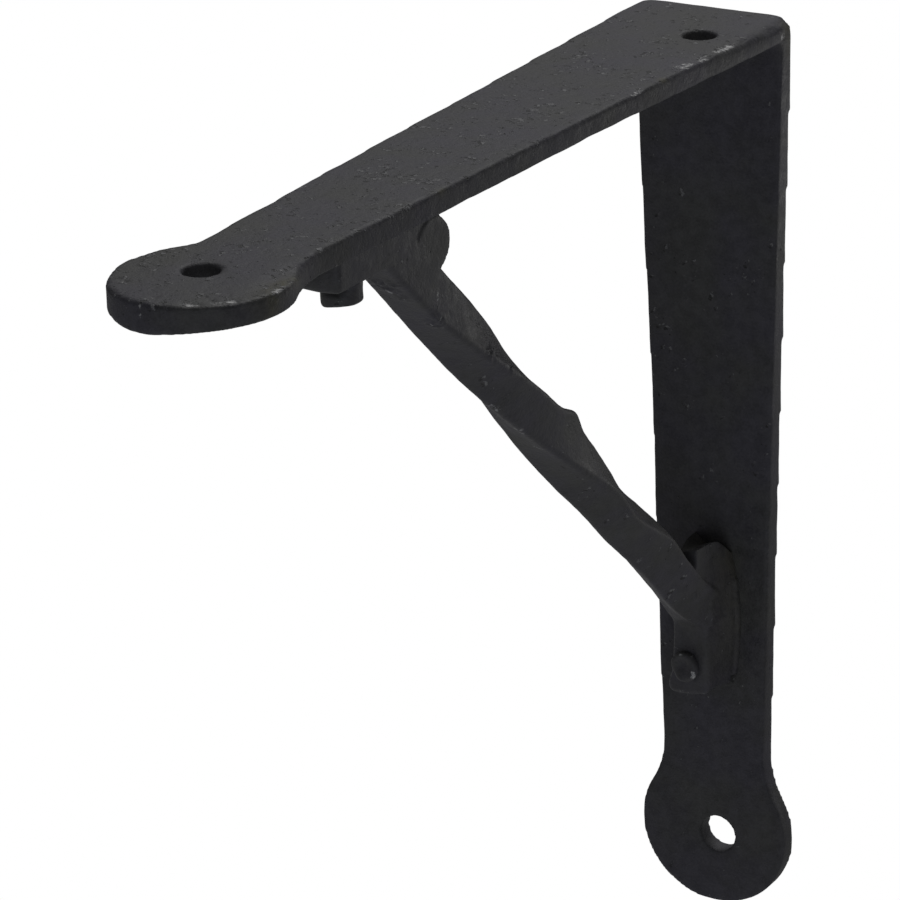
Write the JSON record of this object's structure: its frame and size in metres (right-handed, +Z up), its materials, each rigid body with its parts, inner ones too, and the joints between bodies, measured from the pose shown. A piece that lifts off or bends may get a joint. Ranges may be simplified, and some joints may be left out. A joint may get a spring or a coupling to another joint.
{
  "type": "shelf bracket",
  "caption": "Forged iron shelf bracket: a flat bar bent square, with round screw eyes at its ends and a riveted, twisted square brace.",
  "frame": {"origin": "middle of the leg's flat back, on the wall and halfway down the leg", "axes": "+Z up, parallel to the wall. +Y into the wall, so the arm reaches out to -Y. +X across the bar, to the right for someone who faces the wall."},
  "size_m": [0.0258, 0.1535, 0.15],
  "materials": {
    "blackened_iron_bar": "matte blackened iron with a fine grain, worn bright at a few edges, with a little olive and ochre patina",
    "blackened_iron_brace": "blackened iron with hammer marks and scale, its twisted ridges rubbed bright in places",
    "blackened_iron_rivet": "blackened iron, hammered, with small bright marks"
  },
  "bodies": {
    "root": {"l_bar": "blackened_iron_bar", "twisted_brace": "blackened_iron_brace", "upper_rivet": "blackened_iron_rivet", "lower_rivet": "blackened_iron_rivet"}
  },
  "joints": []
}
